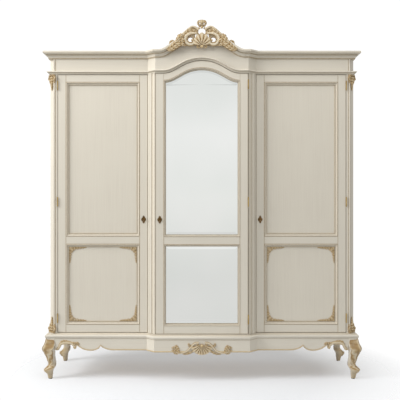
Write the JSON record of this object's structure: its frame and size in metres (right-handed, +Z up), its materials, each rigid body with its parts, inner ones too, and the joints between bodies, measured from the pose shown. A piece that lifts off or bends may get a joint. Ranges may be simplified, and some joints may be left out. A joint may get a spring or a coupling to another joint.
{
  "type": "armoire",
  "caption": "Breakfront armoire in carved, ivory-lacquered wood: arched mirror door between two panelled doors, pierced crest, canted corners and cabriole legs.",
  "frame": {"origin": "on the floor under the middle of the whole piece's box", "axes": "+X to the viewer's right, +Y to the back, +Z up"},
  "size_m": [2.198, 0.632, 2.479],
  "materials": {
    "ivory_lacquer": "ivory lacquer brushed on beech, with brown patina in the recesses",
    "gilt_wood": "carved beech with worn gold leaf over ivory",
    "inside_wood": "satin lacquered veneer",
    "mirror_glass": "silvered glass with a bevelled edge",
    "bronze": "aged cast bronze",
    "brass": "satin brass",
    "steel": "zinc plated",
    "glide_plastic": "dark moulded plastic"
  },
  "bodies": {
    "carcass": {"leg_front_left": "ivory_lacquer", "leg_front_right": "ivory_lacquer", "rear_legs": "ivory_lacquer", "apron_left": "ivory_lacquer", "apron_right": "ivory_lacquer", "apron_centre": "ivory_lacquer", "base_rails": "ivory_lacquer", "base_moulding": "ivory_lacquer", "front_posts": "ivory_lacquer", "pilasters": "ivory_lacquer", "side_frames": "ivory_lacquer", "side_panels": "ivory_lacquer", "wing_friezes": "ivory_lacquer", "pediment_board": "ivory_lacquer", "astragal": "ivory_lacquer", "wing_cornices": "ivory_lacquer", "swan_necks": "ivory_lacquer", "crest_carving": "gilt_wood", "post_capitals": "gilt_wood", "post_base_ornaments": "gilt_wood", "apron_carvings": "gilt_wood", "bottom_board": "inside_wood", "top_board": "inside_wood", "back_panels": "inside_wood", "partitions": "inside_wood", "shelves": "inside_wood", "hinge_frame_leaves": "brass", "hanging_rails": "brass", "rail_sockets": "brass", "shelf_pins": "steel", "strike_plates": "steel", "leg_glides": "glide_plastic"},
    "left_door": {"left_door_frame": "ivory_lacquer", "left_door_panels": "ivory_lacquer", "left_door_panel_mouldings": "ivory_lacquer", "left_door_corner_ornaments": "gilt_wood", "left_door_escutcheon": "bronze", "left_door_lock_case": "steel", "left_door_hinge_leaves": "brass"},
    "left_door_key": {"left_door_key": "bronze"},
    "left_door_bolt": {"left_door_bolt": "steel"},
    "centre_door": {"centre_door_frame": "ivory_lacquer", "mirrors": "mirror_glass", "mirror_backs": "inside_wood", "mirror_mouldings": "ivory_lacquer", "centre_door_escutcheon": "bronze", "centre_door_lock_case": "steel", "centre_door_hinge_leaves": "brass"},
    "centre_door_key": {"centre_door_key": "bronze"},
    "centre_door_bolt": {"centre_door_bolt": "steel"},
    "right_door": {"right_door_frame": "ivory_lacquer", "right_door_panels": "ivory_lacquer", "right_door_panel_mouldings": "ivory_lacquer", "right_door_corner_ornaments": "gilt_wood", "right_door_escutcheon": "bronze", "right_door_lock_case": "steel", "right_door_hinge_leaves": "brass"},
    "right_door_key": {"right_door_key": "bronze"},
    "right_door_bolt": {"right_door_bolt": "steel"}
  },
  "joints": [
    {"name": "left_door_hinge", "type": "hinge", "parent": "carcass", "child": "left_door", "pos_m": [-1.0025, -0.229, 1.23], "axis": [0, 0, -1], "range_deg": [0, 110]},
    {"name": "left_door_key_turn", "type": "hinge", "parent": "left_door", "child": "left_door_key", "pos_m": [-0.405, -0.224, 1.106], "axis": [0, 1, 0], "range_deg": [0, 180]},
    {"name": "left_door_bolt_slide", "type": "slide", "parent": "left_door", "child": "left_door_bolt", "axis": [1, 0, 0], "range_m": [0, 0.012]},
    {"name": "centre_door_hinge", "type": "hinge", "parent": "carcass", "child": "centre_door", "pos_m": [0.3185, -0.283, 1.23], "axis": [0, 0, 1], "range_deg": [0, 100]},
    {"name": "centre_door_key_turn", "type": "hinge", "parent": "centre_door", "child": "centre_door_key", "pos_m": [-0.29, -0.278, 1.106], "axis": [0, 1, 0], "range_deg": [0, 180]},
    {"name": "centre_door_bolt_slide", "type": "slide", "parent": "centre_door", "child": "centre_door_bolt", "axis": [-1, 0, 0], "range_m": [0, 0.012]},
    {"name": "right_door_hinge", "type": "hinge", "parent": "carcass", "child": "right_door", "pos_m": [1.0025, -0.229, 1.23], "axis": [0, 0, 1], "range_deg": [0, 110]},
    {"name": "right_door_key_turn", "type": "hinge", "parent": "right_door", "child": "right_door_key", "pos_m": [0.405, -0.224, 1.106], "axis": [0, 1, 0], "range_deg": [0, 180]},
    {"name": "right_door_bolt_slide", "type": "slide", "parent": "right_door", "child": "right_door_bolt", "axis": [-1, 0, 0], "range_m": [0, 0.012]}
  ],
  "couplings": [
    {"joint": "left_door_key_turn", "follows": "left_door_bolt_slide", "rad_per_m": 261.8},
    {"joint": "centre_door_key_turn", "follows": "centre_door_bolt_slide", "rad_per_m": 261.8},
    {"joint": "right_door_key_turn", "follows": "right_door_bolt_slide", "rad_per_m": 261.8}
  ]
}
